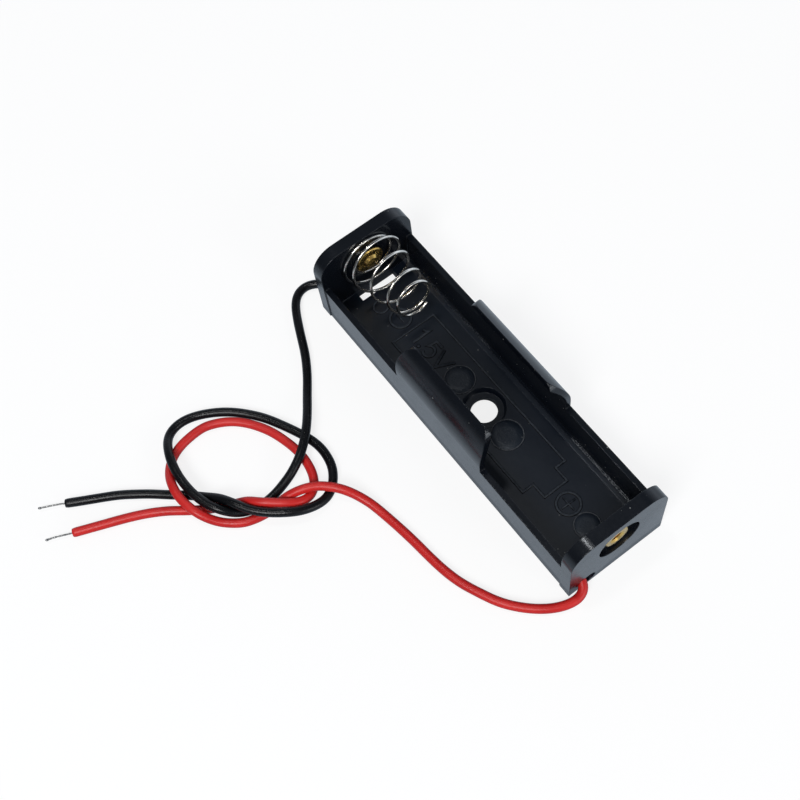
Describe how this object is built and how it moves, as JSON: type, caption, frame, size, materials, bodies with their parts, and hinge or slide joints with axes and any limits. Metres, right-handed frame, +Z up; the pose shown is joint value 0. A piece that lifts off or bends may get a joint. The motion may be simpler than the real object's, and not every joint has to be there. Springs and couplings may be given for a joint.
{
  "type": "single round cell holder",
  "caption": "Moulded open tray for a round cell, with curled side clips, a coil spring contact, a riveted button contact and red and black flying leads.",
  "frame": {"origin": "centre of the tray's footprint on its flat underside", "axes": "+X along the cell towards the positive contact, +Y across the tray away from the leads, +Z up out of the open side"},
  "size_m": [0.0646, 0.0692, 0.0146],
  "materials": {
    "black_plastic": "glossy moulded black plastic",
    "contact_brass": "plain brass rivets, lightly dulled",
    "spring_wire": "drawn nickel-plated steel wire",
    "red_insulation": "soft glossy red insulation",
    "black_insulation": "soft glossy black insulation",
    "tinned_copper": "twisted tinned strands"
  },
  "bodies": {
    "holder": {"tray": "black_plastic", "positive_contact": "contact_brass", "negative_rivet": "contact_brass", "red_lead": "red_insulation", "red_conductor": "tinned_copper", "black_lead": "black_insulation", "black_conductor": "tinned_copper"},
    "spring": {"contact_spring": "spring_wire"}
  },
  "joints": [
    {"name": "spring_press", "type": "slide", "parent": "holder", "child": "spring", "axis": [-1, 0, 0], "range_m": [0, 0.0078], "stiffness_N_per_m": 400, "deforming": ["contact_spring"]}
  ]
}
